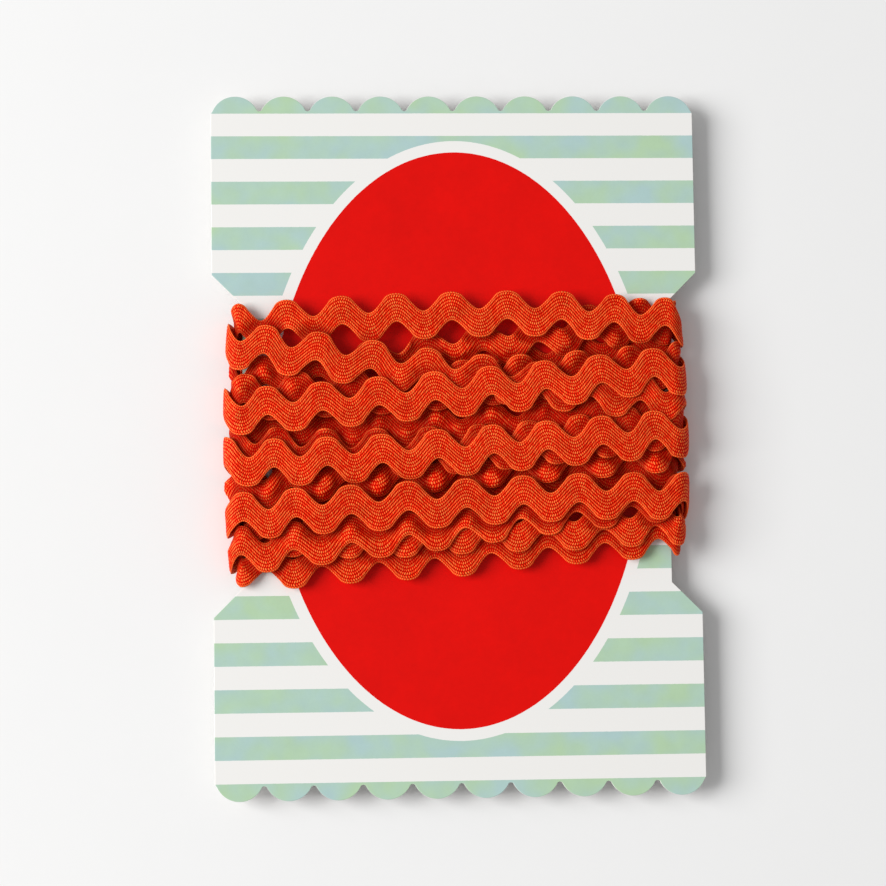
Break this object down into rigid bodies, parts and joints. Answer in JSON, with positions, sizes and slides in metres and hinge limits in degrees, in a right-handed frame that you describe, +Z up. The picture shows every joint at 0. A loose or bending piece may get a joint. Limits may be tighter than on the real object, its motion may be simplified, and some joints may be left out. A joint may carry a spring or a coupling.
{
  "type": "roll of ric rac wound on a notched card",
  "caption": "Flat zigzag ric rac braid wound in overlapping turns round the waist of a notched card with scalloped ends.",
  "frame": {"origin": "middle of the footprint, on the surface that the winding rests on", "axes": "+Y along the card towards its upper scalloped end, +Z up out of the printed front, +X to the right across the card"},
  "size_m": [0.0822, 0.119, 0.0067],
  "materials": {
    "card": "matt printed card, white with sage green stripes and a plain red oval on the front",
    "braid": "lustrous orange-red woven zigzag braid with fine ribs along it"
  },
  "bodies": {
    "root": {"notched_card": "card", "ric_rac_winding": "braid"}
  },
  "joints": []
}
